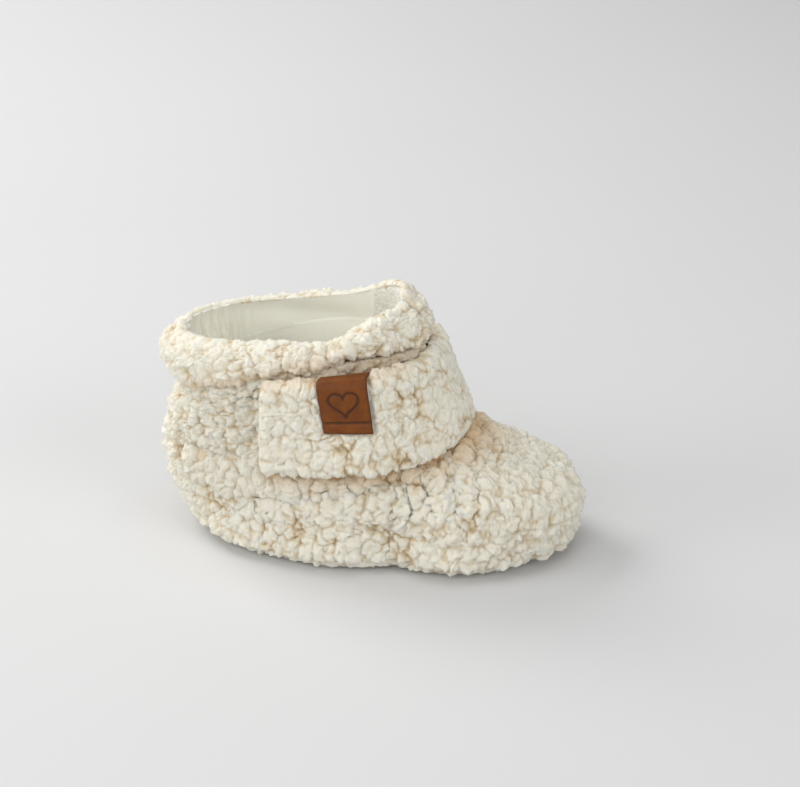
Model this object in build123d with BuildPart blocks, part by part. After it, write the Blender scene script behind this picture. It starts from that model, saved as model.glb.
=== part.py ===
"""Baby bootie for the right foot: a soft shoe of curly plush with a jersey lining.

The shoe is a stack of sewn layers. A plush sole, a padding and a lining sole lie under a
plush upper (vamp, two quarters and a cuff) with a jersey lining inside it. The cuff is open
at the front: its outer-side flap swings out to let the foot in. A wide strap is sewn to the
inner side, crosses the instep, and closes on the outer side with a hook patch on a loop patch.
A leather tag is folded over the strap's top edge.

Millimetres. +X runs from heel to toe, +Z is up, and the outer side of the foot is at -Y.
The origin is on the ground, in the middle of the bootie's length and width.
"""
import os
from math import copysign, cos, pi, sin, sqrt

from build123d import *

os.makedirs("parts", exist_ok=True)

# Driving dimensions, in mm.
SOLE = 5.0              # plush outsole
PADDING = 3.0           # foam on the outsole
JERSEY = 1.0            # lining
PLUSH = 4.5             # plush upper, backing and pile
VAMP_X = 12.0           # seam between the vamp and the quarters
FLAP_X = -4.0           # fold line of the cuff's front flap
FACING_X = -1.0         # where the jersey in the cuff gives way to a plush facing
JOINT_GAP = 0.4         # clearance round the flap, which moves
FLAP_LIFT = 0.9         # clearance under the flap, which swings out over a slanting seam

# Strap: heights above the shoe's surface, and where it lies.
HOOK_IN, LINING_IN, PILE_IN, STRAP_OUT = 0.9, 1.7, 2.5, 7.2
STRAP_END_X = -25.0     # both ends of the strap
ANCHOR_X = -8.0         # fold line at the sewn end
PEEL_X = 8.0            # fold line of the tab
TAG_X = (-7.3, 6.5)     # leather tag, along the strap
TAG_LOW_Z = 44.0
LEATHER = 1.0

# Hook-and-loop patches on the outer side.
PATCH_X = (-23.5, -10.5)
PATCH_Z = (33.5, 52.5)
LOOP = 0.9              # thickness of the loop patch, let into the quarter's pile
STITCH = 2.0            # length of one stitch
THREAD = 0.5            # thickness of the thread
STITCH_PITCH = 3.0

# Elastic in the ankle seam, behind the heel.
ELASTIC = 0.8
ELASTIC_WIDTH = 6.0
ELASTIC_FRONT_X = -34.0

# The shoe's outline at each height: z, heel x, front x, half width, and how much wider
# the front is than the heel.
LEVELS = (
    (0.0, -48.5, 55.0, 27.3, 0.05),
    (5.0, -54.0, 60.2, 29.0, 0.06),
    (11.0, -57.8, 62.0, 29.4, 0.06),
    (18.0, -60.2, 62.0, 29.2, 0.05),
    (24.0, -61.0, 57.5, 28.4, 0.00),
    (28.0, -61.0, 49.5, 26.6, -0.06),
    (31.0, -60.7, 43.0, 25.2, -0.08),
    (34.0, -60.3, 34.5, 24.3, -0.10),
    (38.0, -59.3, 22.8, 23.6, -0.10),
    (43.0, -58.2, 20.6, 23.0, -0.09),
    (49.0, -59.6, 18.2, 22.6, -0.08),
    (55.0, -60.6, 16.2, 22.8, -0.07),
    (61.0, -60.2, 16.2, 23.0, -0.06),
    (67.0, -59.2, 16.6, 21.2, -0.05),
    (74.0, -58.2, 16.6, 19.8, -0.05),
    (82.0, -57.6, 16.4, 19.2, -0.05),
)
SQUARE = 0.90           # under 1 makes an outline fuller than an ellipse

# The strap's own form, which stands clear of the instep: columns as above.
STRAP_LEVELS = (
    (24.0, -61.0, 25.5, 26.6, -0.04),
    (31.0, -60.7, 25.0, 25.4, -0.04),
    (38.0, -59.3, 23.4, 24.0, -0.05),
    (45.0, -58.8, 20.6, 23.3, -0.05),
    (52.0, -60.2, 17.6, 23.0, -0.05),
    (60.0, -60.4, 14.4, 23.4, -0.05),
    (68.0, -60.4, 12.0, 23.4, -0.05),
)
STRAP_SQUARE = 0.78
OUTLINE_POINTS = 16

# Side view of the ankle seam, of the cuff's rim, and of the strap's lower and upper edges.
SEAM = ((-75, 43.0), (-60, 45.5), (-42, 52.0), (-25, 57.0), (-8, 60.8), (7, 62.0), (30, 62.5))
RIM = ((-75, 56.0), (-60, 58.5), (-45, 63.0), (-17, 67.5), (-4, 70.0), (6, 73.5), (11, 74.8), (17, 70.0))
STRAP_LOW = ((-45, 31.6), (-25, 31.6), (6, 32.3), (20, 34.0), (30, 36.5), (45, 39.0))
STRAP_TOP = ((-45, 53.5), (-25, 55.5), (-8, 58.2), (7, 59.6), (20, 59.8), (45, 60.0))
FAR = 90.0              # beyond the bootie in every direction


def slope(values, heights, i):
    """Change of a level's value with height, from the levels below and above it."""
    low, high = max(i - 1, 0), min(i + 1, len(values) - 1)
    return (values[high] - values[low]) / (heights[high] - heights[low])


def grown_levels(levels, grow, base):
    """Levels from height base up, moved outwards by grow, or inwards if it is negative."""
    heights, heels, fronts, halves, tapers = (list(column) for column in zip(*levels))
    rows = []
    for i, z in enumerate(heights):
        heel, front, half = (grow * sqrt(1 + slope(v, heights, i) ** 2) for v in (heels, fronts, halves))
        rows.append((z, heels[i] - heel, fronts[i] + front, halves[i] + half, tapers[i]))
    return [row for row in rows if row[0] >= base]


def outline(heel, front, half, taper, square):
    """Points of one outline, an oval that is fuller than an ellipse and wider at one end."""
    points = []
    for i in range(OUTLINE_POINTS):
        angle = 2 * pi * i / OUTLINE_POINTS
        along = copysign(abs(cos(angle)) ** square, cos(angle))
        across = copysign(abs(sin(angle)) ** square, sin(angle))
        x = (heel + front) / 2 + along * (front - heel) / 2
        points.append((x, half * across * (1 + taper * along)))
    return points


def form_from(levels, grow, base, square):
    """Solid form through levels, its surface moved outwards by grow, from height base up."""
    with BuildPart() as form:
        for z, heel, front, half, taper in grown_levels(levels, grow, base):
            with BuildSketch(Plane.XY.offset(z)):
                with BuildLine():
                    Spline(*outline(heel, front, half, taper, square), periodic=True)
                make_face()
        loft()
    return form.part


def shoe_form(grow, base=0.0):
    """Solid form of the shoe, from height base up."""
    return form_from(LEVELS, grow, base, SQUARE)


def strap_form(grow):
    """Solid form inside the strap's face that lies grow out from the strap's own form."""
    return form_from(STRAP_LEVELS, grow, STRAP_LEVELS[0][0], STRAP_SQUARE)


def side_window(lower, upper):
    """Solid that spans the bootie's width between two side-view edges.

    Each edge is a spline, carried on level past both of its ends.
    """
    with BuildPart() as window:
        with BuildSketch(Plane.XZ):
            with BuildLine():
                low = Spline(*lower)
                high = Spline(*upper)
                Polyline(low @ 0, (-FAR, lower[0][1]), (-FAR, upper[0][1]), high @ 0)
                Polyline(low @ 1, (FAR, lower[-1][1]), (FAR, upper[-1][1]), high @ 1)
            make_face()
        extrude(amount=FAR, both=True)
    return window.part


def reach(edge, height, raised=0.0):
    """Solid between a side-view edge, raised or not, and a level plane at height."""
    level = [(x, height) for x, _ in (edge[0], edge[-1])]
    return side_window([(x, z + raised) for x, z in edge], level)


def box_between(low, high):
    """A box between two corners."""
    with BuildPart() as box:
        with Locations(tuple((a + b) / 2 for a, b in zip(low, high))):
            Box(*(b - a for a, b in zip(low, high)))
    return box.part


def piece(body, keep=(), cut=()):
    """A layer with everything outside each of keep, and inside each of cut, taken away."""
    with BuildPart() as made:
        add(body)
        for solid in keep:
            add(solid, mode=Mode.INTERSECT)
        for solid in cut:
            add(solid, mode=Mode.SUBTRACT)
    return made.part


def save(name, part):
    """Writes one node."""
    part.label = name
    export_step(part, f"parts/{name}.step")


# Forms and layers.
surface = shoe_form(0)
plush_inside = shoe_form(-PLUSH, SOLE)
foot_room = shoe_form(-PLUSH - JERSEY, SOLE)
above_rim = reach(RIM, FAR)
plush_wall = piece(surface, cut=(plush_inside, above_rim))
jersey_wall = piece(plush_inside, cut=(foot_room, above_rim))

# Regions.
padding_top = SOLE + PADDING
inside_floor = padding_top + JERSEY
lateral = box_between((-FAR, -FAR, 0), (FAR, 0, FAR))
medial = box_between((-FAR, 0, 0), (FAR, FAR, FAR))
upper_zone = reach(SEAM, SOLE)
lining_zone = reach(SEAM, inside_floor)
cuff_zone = reach(SEAM, FAR)
behind_vamp = box_between((-FAR, -FAR, 0), (VAMP_X, FAR, FAR))
vamp_zone = box_between((VAMP_X, -FAR, 0), (FAR, FAR, FAR))

# Sole, padding and lining sole.
outsole = piece(surface, keep=[box_between((-FAR, -FAR, 0), (FAR, FAR, SOLE))])
save("outsole", outsole)
sole_padding = piece(plush_inside, keep=[box_between((-FAR, -FAR, SOLE), (FAR, FAR, padding_top))])
save("sole_padding", sole_padding)
insole_lining = piece(plush_inside, keep=[box_between((-FAR, -FAR, padding_top), (FAR, FAR, inside_floor))])
save("insole_lining", insole_lining)

# Elastic round the back of the ankle, between the plush and the lining.
elastic_band = side_window(
    [(x, z - ELASTIC_WIDTH / 2) for x, z in SEAM], [(x, z + ELASTIC_WIDTH / 2) for x, z in SEAM]
)
behind_elastic = box_between((-FAR, -FAR, 0), (ELASTIC_FRONT_X, FAR, FAR))
heel_elastic = piece(shoe_form(-PLUSH + ELASTIC, SOLE), (elastic_band, behind_elastic), [plush_inside])
save("heel_elastic", heel_elastic)

# Loop patch, let into the pile of the outer quarter.
patch_window = box_between((PATCH_X[0], -FAR, PATCH_Z[0]), (PATCH_X[1], 0, PATCH_Z[1]))
loop_patch = piece(surface, keep=[patch_window], cut=[shoe_form(-LOOP)])

# Vamp and quarters, in plush and in jersey.
save("vamp", piece(plush_wall, keep=(upper_zone, vamp_zone)))
save("vamp_lining", piece(jersey_wall, keep=(lining_zone, vamp_zone)))
save("quarter_lateral", piece(plush_wall, (upper_zone, behind_vamp, lateral), (heel_elastic, loop_patch)))
save("quarter_medial", piece(plush_wall, (upper_zone, behind_vamp, medial), [heel_elastic]))
save("quarter_lining_lateral", piece(jersey_wall, (lining_zone, behind_vamp, lateral)))
save("quarter_lining_medial", piece(jersey_wall, (lining_zone, behind_vamp, medial)))

# Cuff. The flap is its outer-side front, which swings out.
behind_flap = box_between((-FAR, -FAR, 0), (FLAP_X, 0, FAR))
flap_box = box_between((FLAP_X + JOINT_GAP, -FAR, 0), (FAR, -JOINT_GAP, FAR))
flap_zone = piece(reach(SEAM, FAR, FLAP_LIFT), keep=[flap_box])
facing_zone = box_between((FACING_X, 0, 0), (FAR, FAR, FAR))
save("cuff_lateral", piece(plush_wall, (cuff_zone, behind_flap), [heel_elastic]))
save("cuff_medial", piece(plush_wall, (cuff_zone, medial), [heel_elastic]))
save("cuff_lining_lateral", piece(jersey_wall, (cuff_zone, behind_flap)))
save("cuff_lining_medial", piece(jersey_wall, (cuff_zone, medial), [facing_zone]))
save("cuff_facing_medial", piece(jersey_wall, (cuff_zone, facing_zone)))
save("flap", piece(plush_wall, [flap_zone]))
save("flap_facing", piece(jersey_wall, [flap_zone]))

# Strap, a plush face on a jersey back, in three lengths that meet at its fold lines.
strap_window = side_window(STRAP_LOW, STRAP_TOP)
strap_zone = piece(strap_window, keep=[box_between((STRAP_END_X, -FAR, 0), (FAR, FAR, FAR))])
strap_forms = {height: strap_form(height) for height in (HOOK_IN, LINING_IN, PILE_IN, STRAP_OUT)}
clear_of_shoe = shoe_form(HOOK_IN)
strap_plush = piece(strap_forms[STRAP_OUT], [strap_zone], [strap_forms[PILE_IN], clear_of_shoe])
strap_back = piece(strap_forms[PILE_IN], [strap_zone], [strap_forms[LINING_IN], clear_of_shoe])
anchor_zone = box_between((STRAP_END_X, 0, 0), (ANCHOR_X, FAR, FAR))
tab_zone = box_between((STRAP_END_X, -FAR, 0), (PEEL_X, 0, FAR))
bridge_cut = (
    box_between((-FAR, 0, 0), (ANCHOR_X + JOINT_GAP, FAR, FAR)),
    box_between((-FAR, -FAR, 0), (PEEL_X + JOINT_GAP, 0, FAR)),
)

# Leather tag, folded over the tab's top edge.
tag_top = [(x, z + LEATHER) for x, z in STRAP_TOP]
tag_low = [(x, TAG_LOW_Z) for x in (STRAP_TOP[0][0], 0, STRAP_TOP[-1][0])]
tag_zone = piece(
    side_window(tag_low, tag_top), keep=[box_between((TAG_X[0], -FAR, 0), (TAG_X[1], 0, FAR))]
)
strap_layers = piece(strap_forms[STRAP_OUT], [strap_window], [strap_forms[LINING_IN]])
leather_tag = piece(
    strap_form(STRAP_OUT + LEATHER),
    keep=[tag_zone],
    cut=[strap_form(LINING_IN - LEATHER), strap_layers],
)
hook_patch = piece(strap_forms[LINING_IN], [patch_window], [strap_forms[HOOK_IN]])


def stitch_row(form, start, end, side):
    """Stitches in a straight row on the side of a form, from start to end, each an (x, z)."""
    run = sqrt((end[0] - start[0]) ** 2 + (end[1] - start[1]) ** 2)
    count = int(run // STITCH_PITCH)
    level = abs(end[0] - start[0]) > abs(end[1] - start[1])
    size = (STITCH, THREAD, THREAD) if level else (THREAD, THREAD, STITCH)
    places = []
    for i in range(count):
        share = (i + 0.5) / count
        x = start[0] + share * (end[0] - start[0])
        z = start[1] + share * (end[1] - start[1])
        hits = form.find_intersection_points(Axis((x, side * FAR, z), (0, -side, 0)))
        places.append(max((hit[0] for hit in hits), key=lambda point: side * point.Y))
    with BuildPart() as row:
        with Locations(*places):
            Box(*size)
    return row.part


def stitch_frame(form, x_range, z_range, side, inset=1.2):
    """Stitches round a rectangle on the side of a form."""
    left, right = x_range[0] + inset, x_range[1] - inset
    low, high = z_range[0] + inset, z_range[1] - inset
    corners = ((left, low), (right, low), (right, high), (left, high), (left, low))
    with BuildPart() as frame:
        for start, end in zip(corners, corners[1:]):
            add(stitch_row(form, start, end, side))
    return frame.part


LATERAL, MEDIAL = -1, 1
loop_stitches = stitch_frame(surface, PATCH_X, PATCH_Z, LATERAL)
save("loop_patch", piece(loop_patch, cut=[loop_stitches]))
save("loop_patch_stitches", loop_stitches)
hook_stitches = stitch_frame(strap_forms[HOOK_IN], PATCH_X, PATCH_Z, LATERAL)
save("hook_patch", piece(hook_patch, cut=[hook_stitches]))
save("hook_patch_stitches", hook_stitches)
tag_stitches = stitch_row(
    strap_form(STRAP_OUT + LEATHER),
    (TAG_X[0] + 1, TAG_LOW_Z + 3.5),
    (TAG_X[1] - 1, TAG_LOW_Z + 3.5),
    LATERAL,
)
save("leather_tag", piece(leather_tag, cut=[tag_stitches]))
save("tag_stitches", tag_stitches)
with BuildPart() as anchor_stitches:
    for x in (STRAP_END_X + 3, ANCHOR_X - 5):
        add(stitch_row(strap_forms[STRAP_OUT], (x, 32.5), (x, 53.5), MEDIAL))
save("strap_anchor_stitches", anchor_stitches.part)

save("strap_anchor", piece(strap_plush, [anchor_zone], [anchor_stitches.part]))
save("strap_anchor_lining", piece(strap_back, [anchor_zone]))
save("strap_bridge", piece(strap_plush, cut=bridge_cut))
save("strap_bridge_lining", piece(strap_back, cut=bridge_cut))
save("strap_tab", piece(strap_plush, [tab_zone]))
save("strap_tab_lining", piece(strap_back, [tab_zone]))
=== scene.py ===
import math

import bmesh
import bpy
import numpy as np
from mathutils import Matrix, Vector


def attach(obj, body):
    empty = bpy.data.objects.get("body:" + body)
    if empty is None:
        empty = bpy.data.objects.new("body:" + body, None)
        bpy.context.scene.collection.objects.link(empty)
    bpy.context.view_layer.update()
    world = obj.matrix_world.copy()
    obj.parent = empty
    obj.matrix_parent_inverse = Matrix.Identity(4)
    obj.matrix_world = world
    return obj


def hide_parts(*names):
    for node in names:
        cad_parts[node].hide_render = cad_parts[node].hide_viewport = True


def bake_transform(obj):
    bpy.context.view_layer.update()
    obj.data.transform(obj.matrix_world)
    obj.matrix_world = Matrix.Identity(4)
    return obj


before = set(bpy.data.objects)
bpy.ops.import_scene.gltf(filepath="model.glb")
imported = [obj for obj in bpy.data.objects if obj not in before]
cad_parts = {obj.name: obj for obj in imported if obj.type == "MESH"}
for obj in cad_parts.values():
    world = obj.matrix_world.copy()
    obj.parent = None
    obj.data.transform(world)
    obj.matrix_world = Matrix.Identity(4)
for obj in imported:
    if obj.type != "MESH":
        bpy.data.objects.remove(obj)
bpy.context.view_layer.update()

MM = 0.001

# ---------------------------------------------------------------------------
# Forms, in millimetres. Each level: height, heel x, front x, half width, taper.
# ---------------------------------------------------------------------------
SHOE = np.array((
    (0.0, -48.5, 55.0, 27.3, 0.05),
    (5.0, -54.0, 60.2, 29.0, 0.06),
    (11.0, -57.8, 62.0, 29.4, 0.06),
    (18.0, -60.2, 62.0, 29.2, 0.05),
    (24.0, -61.0, 57.5, 28.4, 0.00),
    (28.0, -61.0, 49.5, 26.6, -0.06),
    (31.0, -60.7, 43.0, 25.2, -0.08),
    (34.0, -60.3, 34.5, 24.3, -0.10),
    (38.0, -59.3, 22.8, 23.6, -0.10),
    (43.0, -58.2, 20.6, 23.0, -0.09),
    (49.0, -59.6, 18.2, 22.6, -0.08),
    (55.0, -60.6, 16.2, 22.8, -0.07),
    (61.0, -60.2, 16.2, 23.0, -0.06),
    (67.0, -59.2, 16.6, 21.2, -0.05),
    (74.0, -58.2, 16.6, 19.8, -0.05),
    (82.0, -57.6, 16.4, 19.2, -0.05),
))
STRAP = np.array((
    (24.0, -61.0, 25.5, 26.6, -0.04),
    (31.0, -60.7, 25.0, 25.4, -0.04),
    (38.0, -59.3, 23.4, 24.0, -0.05),
    (45.0, -58.8, 20.6, 23.3, -0.05),
    (52.0, -60.2, 17.6, 23.0, -0.05),
    (60.0, -60.4, 14.4, 23.4, -0.05),
    (68.0, -60.4, 12.0, 23.4, -0.05),
))
SHOE_SQUARE, STRAP_SQUARE = 0.90, 0.78
SEAM = np.array(((-75, 43.0), (-60, 45.5), (-42, 52.0), (-25, 57.0), (-8, 60.8), (7, 62.0), (30, 62.5)))
RIM_OUTER = np.array(((-75, 60.0), (-60, 61.2), (-45, 63.6), (-30, 64.4), (-17, 64.4), (-6, 65.6), (2, 70.4),
                      (8, 73.0), (13, 72.0), (17, 69.5)))
RIM_INNER = np.array(((-75, 61.0), (-60, 62.2), (-45, 63.4), (-17, 67.0), (-4, 70.4), (6, 75.4), (12, 76.6),
                      (17, 74.5)))
STRAP_LOW = np.array(((-45, 31.6), (-25, 31.6), (6, 32.3), (20, 34.0), (30, 36.5), (45, 39.0)))
STRAP_TOP = np.array(((-45, 53.5), (-25, 55.5), (-8, 58.2), (7, 59.6), (20, 59.8), (45, 60.0)))
SOLE_Z = 5.0
VAMP_X = 12.0
FACING_X = -1.0
STRAP_END_X = -25.0
PATCH_X, PATCH_Z = (-23.5, -10.5), (33.5, 52.5)
LATERAL, MEDIAL = -1, 1


def smooth(v, low, high):
    t = np.clip((v - low) / (high - low), 0, 1)
    return t * t * (3 - 2 * t)


def hermite(xs, ys, x):
    """Smooth curve through points, level past both ends."""
    x = np.clip(x, xs[0], xs[-1])
    slopes = np.gradient(ys, xs)
    i = np.clip(np.searchsorted(xs, x) - 1, 0, len(xs) - 2)
    h = xs[i + 1] - xs[i]
    t = (x - xs[i]) / h
    a = (1 + 2 * t) * (1 - t) ** 2
    b = t * (1 - t) ** 2
    c = t * t * (3 - 2 * t)
    d = t * t * (t - 1)
    return a * ys[i] + b * h * slopes[i] + c * ys[i + 1] + d * h * slopes[i + 1]


def edge_z(edge, x):
    return hermite(edge[:, 0], edge[:, 1], x)


def rim_z(x, y):
    """Height of the cuff's rim: the outer side is lower than the inner side."""
    inner = smooth(y, -6, 6)
    return edge_z(RIM_OUTER, x) * (1 - inner) + edge_z(RIM_INNER, x) * inner


def columns(levels, z, grow):
    """Heel, front, half width and taper at each height, moved outwards by grow."""
    zs = levels[:, 0]
    found = []
    for k, sign in ((1, -1), (2, 1), (3, 1)):
        value = hermite(zs, levels[:, k], z)
        steep = hermite(zs, levels[:, k], z + 1.5) - hermite(zs, levels[:, k], z - 1.5)
        found.append(value + sign * grow * np.sqrt(1 + np.minimum((steep / 3) ** 2, 4.0)))
    return (*found, hermite(zs, levels[:, 4], z))


def power(v, p):
    return np.sign(v) * np.abs(v) ** p


def on_form(levels, square, angle, z, grow=0.0):
    """Points of a form. Angle 0 is the front, positive angles are the inner side."""
    heel, front, half, taper = columns(levels, z, grow)
    along = power(np.cos(angle), square)
    across = power(np.sin(angle), square)
    x = (heel + front) / 2 + along * (front - heel) / 2
    y = half * across * (1 + taper * along)
    return np.stack([x, y, z + 0 * x], -1)


def angle_at(levels, square, x, z, grow=0.0):
    """The angle, on the inner side, at which a form has this x at height z."""
    heel, front, _, _ = columns(levels, z, grow)
    along = np.clip((x - (heel + front) / 2) / ((front - heel) / 2), -1, 1)
    return np.arccos(np.clip(power(along, 1 / square), -1, 1))


# ---------------------------------------------------------------------------
# Noise on points in millimetres.
# ---------------------------------------------------------------------------
def hashed(ix, iy, iz, seed):
    with np.errstate(over="ignore"):
        h = (ix.astype(np.uint32) * np.uint32(374761393)
             + iy.astype(np.uint32) * np.uint32(668265263)
             + iz.astype(np.uint32) * np.uint32(3266489917)
             + np.uint32((seed * 2654435761) % 2**32))
        h = (h ^ (h >> np.uint32(13))) * np.uint32(1274126177)
        h = (h ^ (h >> np.uint32(15))) * np.uint32(2246822519)
        h = h ^ (h >> np.uint32(16))
    return (h & np.uint32(0xFFFFFF)).astype(np.float64) / 0xFFFFFF


def noise(points, scale, seed):
    """Smooth noise from -1 to 1."""
    q = points / scale
    base = np.floor(q)
    f = q - base
    w = f * f * (3 - 2 * f)
    i = base.astype(np.int64)
    total = 0.0
    for corner in range(8):
        dx, dy, dz = corner & 1, corner >> 1 & 1, corner >> 2
        weight = ((w[:, 0] if dx else 1 - w[:, 0])
                  * (w[:, 1] if dy else 1 - w[:, 1])
                  * (w[:, 2] if dz else 1 - w[:, 2]))
        total = total + weight * hashed(i[:, 0] + dx, i[:, 1] + dy, i[:, 2] + dz, seed)
    return total * 2 - 1


def cells(points, scale, seed, jitter=0.85):
    """Distances, in cells, to the nearest and second nearest scattered centres."""
    q = points / scale
    base = np.floor(q).astype(np.int64)
    first = np.full(len(q), 9.0)
    second = np.full(len(q), 9.0)
    for dx in (-1, 0, 1):
        for dy in (-1, 0, 1):
            for dz in (-1, 0, 1):
                c = base + (dx, dy, dz)
                d2 = 0.0
                for k in range(3):
                    spot = c[:, k] + 0.5 + jitter * (hashed(c[:, 0], c[:, 1], c[:, 2], seed + 17 * k) - 0.5)
                    d2 = d2 + (q[:, k] - spot) ** 2
                d = np.sqrt(d2)
                second = np.minimum(second, np.maximum(first, d))
                first = np.minimum(first, d)
    return first, second


def lumps(points, scale, seed):
    """Rounded lumps with narrow crevices, from 0 in a crevice to 1 on top."""
    first, second = cells(points, scale, seed)
    ridge = np.clip((second - first) / 0.60, 0, 1)
    cap = np.clip(1 - (first / 0.92) ** 1.7, 0, 1)
    return 0.36 * ridge * (2 - ridge) + 0.64 * cap


# ---------------------------------------------------------------------------
# Meshes from grids.
# ---------------------------------------------------------------------------
def normals_of(grid):
    """Unit normals of a grid of points, pointing to the left of rows crossed with columns."""
    du = np.gradient(grid, axis=1)
    dv = np.gradient(grid, axis=0)
    n = np.cross(du, dv)
    return n / np.maximum(np.linalg.norm(n, axis=2, keepdims=True), 1e-9)


def soften(grid, turns):
    """Averages a grid of vectors with its neighbours."""
    for _ in range(turns):
        padded = np.pad(grid, ((1, 1), (1, 1), (0, 0)), mode="edge")
        grid = (padded[:-2, 1:-1] + padded[2:, 1:-1] + padded[1:-1, :-2] + padded[1:-1, 2:]
                + 2 * padded[1:-1, 1:-1]) / 6
    return grid


def border_distance(grid, sides):
    """Distance along the grid to the nearest of its named sides, in mm."""
    rows = np.linalg.norm(np.diff(grid, axis=0), axis=2)
    cols = np.linalg.norm(np.diff(grid, axis=1), axis=2)
    down = np.vstack([np.zeros(grid.shape[1]), np.cumsum(rows, 0)])
    across = np.hstack([np.zeros((grid.shape[0], 1)), np.cumsum(cols, 1)])
    far = np.full(grid.shape[:2], 1e3)
    if "bottom" in sides:
        far = np.minimum(far, down)
    if "top" in sides:
        far = np.minimum(far, down[-1] - down)
    if "start" in sides:
        far = np.minimum(far, across)
    if "end" in sides:
        far = np.minimum(far, across[:, -1:] - across)
    return far


def zipper(a, b):
    """Triangles between two rows of vertices that run the same way."""
    faces, i, j = [], 0, 0
    while i < len(a) - 1 or j < len(b) - 1:
        if j == len(b) - 1 or (i < len(a) - 1 and (i + 1) / (len(a) - 1) <= (j + 1) / (len(b) - 1)):
            faces.append((a[i], a[i + 1], b[j]))
            i += 1
        else:
            faces.append((a[i], b[j + 1], b[j]))
            j += 1
    return faces


def grid_faces(index, flip):
    a, b, c, d = index[:-1, :-1], index[:-1, 1:], index[1:, 1:], index[1:, :-1]
    quads = np.stack([a, b, c, d], -1).reshape(-1, 4)
    return quads[:, ::-1] if flip else quads


def to_object(name, points, quads, triangles=(), values=None, material=None, flat=False):
    """A mesh object from points in millimetres."""
    mesh = bpy.data.meshes.new(name)
    quads = np.asarray(quads, np.int32).reshape(-1, 4)
    triangles = np.asarray(triangles, np.int32).reshape(-1, 3)
    mesh.vertices.add(len(points))
    mesh.vertices.foreach_set("co", (np.asarray(points) * MM).astype(np.float32).ravel())
    loops = np.concatenate([quads.ravel(), triangles.ravel()])
    mesh.loops.add(len(loops))
    mesh.loops.foreach_set("vertex_index", loops)
    starts = np.concatenate([np.arange(len(quads)) * 4, len(quads) * 4 + np.arange(len(triangles)) * 3])
    mesh.polygons.add(len(starts))
    mesh.polygons.foreach_set("loop_start", starts.astype(np.int32))
    mesh.update(calc_edges=True)
    mesh.validate()
    for key, value in (values or {}).items():
        attribute = mesh.attributes.new(key, "FLOAT", "POINT")
        attribute.data.foreach_set("value", np.asarray(value, np.float32))
    if not flat:
        mesh.polygons.foreach_set("use_smooth", np.ones(len(mesh.polygons), bool))
    if material:
        mesh.materials.append(material)
    piece = bpy.data.objects.new(name, mesh)
    bpy.context.scene.collection.objects.link(piece)
    return piece


def shell(name, face, back, values, material, sides=("bottom", "top", "start", "end"), cut=None):
    """A closed piece from a fine face and a coarse back, joined along its sides; cut is a side left sharp."""
    rows, cols = face.shape[:2]
    face_index = np.arange(rows * cols).reshape(rows, cols)
    back_index = rows * cols + np.arange(back.shape[0] * back.shape[1]).reshape(back.shape[:2])
    quads = np.concatenate([grid_faces(face_index, False), grid_faces(back_index, True)])
    triangles = []
    rims = {
        "bottom": (back_index[0], face_index[0]),
        "top": (face_index[-1], back_index[-1]),
        "start": (face_index[:, 0], back_index[:, 0]),
        "end": (back_index[:, -1], face_index[:, -1]),
    }
    for side in sides:
        triangles += zipper(*rims[side])
    points = np.concatenate([face.reshape(-1, 3), back.reshape(-1, 3)])
    filled = {}
    for key, value in values.items():
        hidden = 0.75 if key == "pile" else 0.0
        filled[key] = np.concatenate([value.ravel(), np.full(back.shape[0] * back.shape[1], hidden)])
    piece = to_object(name, points, quads, triangles, filled, material)
    if cut:
        edge = np.concatenate([rims[cut][0], rims[cut][1]])
        ends = np.empty(len(piece.data.edges) * 2, np.int32)
        piece.data.edges.foreach_get("vertices", ends)
        sharp = np.isin(ends.reshape(-1, 2), edge).all(1)
        piece.data.edges.foreach_set("use_edge_sharp", sharp)
    return piece


def weld(piece):
    """Joins coinciding vertices, where a ring meets itself."""
    work = bmesh.new()
    work.from_mesh(piece.data)
    bmesh.ops.remove_doubles(work, verts=work.verts, dist=1e-6)
    work.to_mesh(piece.data)
    work.free()
    return piece


def strided(grid, step):
    """Every step-th row and column of a grid, with its last ones kept."""
    rows = np.unique(np.append(np.arange(0, grid.shape[0], step), grid.shape[0] - 1))
    cols = np.unique(np.append(np.arange(0, grid.shape[1], step), grid.shape[1] - 1))
    return grid[np.ix_(rows, cols)]


def resample(lines, count):
    """Lines, as rows x columns x 3, resampled along the rows to evenly spaced points."""
    lengths = np.linalg.norm(np.diff(lines, axis=0), axis=2)
    travelled = np.vstack([np.zeros(lines.shape[1]), np.cumsum(lengths, 0)])
    made = np.empty((count, lines.shape[1], 3))
    for c in range(lines.shape[1]):
        wanted = np.linspace(0, travelled[-1, c], count)
        for k in range(3):
            made[:, c, k] = np.interp(wanted, travelled[:, c], lines[:, c, k])
    return made


# ---------------------------------------------------------------------------
# Plush: curled pile as real relief.
# ---------------------------------------------------------------------------
def plush_relief(points, stretch, seed, lump_size):
    """Height of the pile from about 0 to 1 at each point, and a level for painted crevice shade, from 0 in a crevice to
    1 on top.
    """
    q = points * np.array(stretch)
    warp = np.stack([noise(q, 2.9, seed + k) for k in (1, 2, 3)], -1) * 1.25
    warp += np.stack([noise(q, 1.2, seed + k) for k in (4, 5, 6)], -1) * 0.50
    big = lumps(q + warp, lump_size, seed + 7)
    middle = lumps(q + 0.9 * warp, lump_size * 0.47, seed + 8)
    small = lumps(q + 0.6 * warp, lump_size * 0.23, seed + 9)
    swell = noise(q, 8.0, seed + 10)
    deep = smooth(noise(q, 4.3, seed + 12), -0.1, 0.7)
    height = (0.50 * big ** (0.8 + 0.9 * deep) + 0.30 * middle * (0.35 + 0.65 * big) + 0.20 * small
              + 0.10 * swell + 0.07 * noise(q, 0.45, seed + 11))
    # Level of painted shade in the crevices: low where the lumps meet and in deep patches.
    painted_crevice_level = np.clip(0.66 * big + 0.40 * middle + 0.06 - 0.32 * deep * (1 - big), 0, 1)
    return height, painted_crevice_level


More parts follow.
